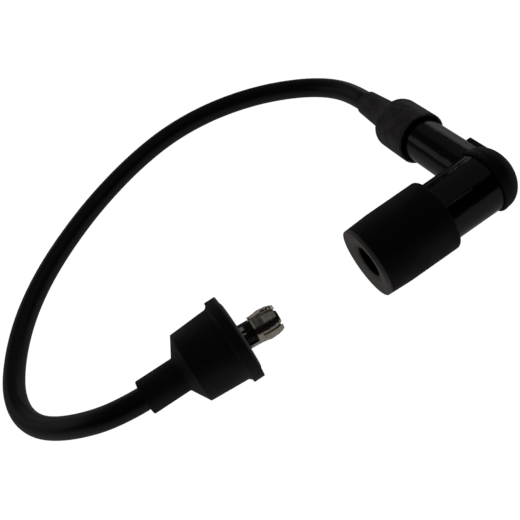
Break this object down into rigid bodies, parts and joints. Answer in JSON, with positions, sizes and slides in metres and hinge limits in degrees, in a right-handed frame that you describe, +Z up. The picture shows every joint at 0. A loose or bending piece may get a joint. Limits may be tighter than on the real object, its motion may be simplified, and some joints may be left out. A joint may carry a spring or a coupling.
{
  "type": "spark plug cap with wire",
  "caption": "Right-angled resistor spark plug cap with rubber boots, a free ignition lead and a flanged coil boot round a sprung crown terminal.",
  "frame": {"origin": "centre of the base of the cap's own box, on the surface that it lies on; the lead and what is on its far end are left out of that box", "axes": "+Z up; the plug leg lies along X with its mouth towards -X; the wire leg runs towards +Y and dips 3.8 degrees to the surface"},
  "size_m": [0.1632, 0.1305, 0.0261],
  "materials": {
    "phenolic": "glossy",
    "rubber_moulding": "matte",
    "lead_jacket": "satin",
    "brass": "satin",
    "copper": "satin",
    "spring_steel": "satin",
    "tinned_sheet": "satin",
    "ceramic": "satin"
  },
  "bodies": {
    "root": {"elbow_body": "phenolic", "elbow_cover": "rubber_moulding", "plug_boot": "rubber_moulding", "wire_seal": "rubber_moulding", "plug_socket": "brass", "socket_clip": "spring_steel", "resistor": "ceramic", "resistor_cap_front": "tinned_sheet", "resistor_cap_rear": "tinned_sheet", "contact_spring": "spring_steel", "contact_plate": "brass", "wire_screw": "spring_steel", "chamber_seal": "rubber_moulding", "lead_cap_end": "lead_jacket", "ht_lead": "lead_jacket", "coil_boot": "rubber_moulding", "lead_coil_end": "lead_jacket", "lead_core": "copper", "coil_terminal": "tinned_sheet"}
  },
  "joints": []
}
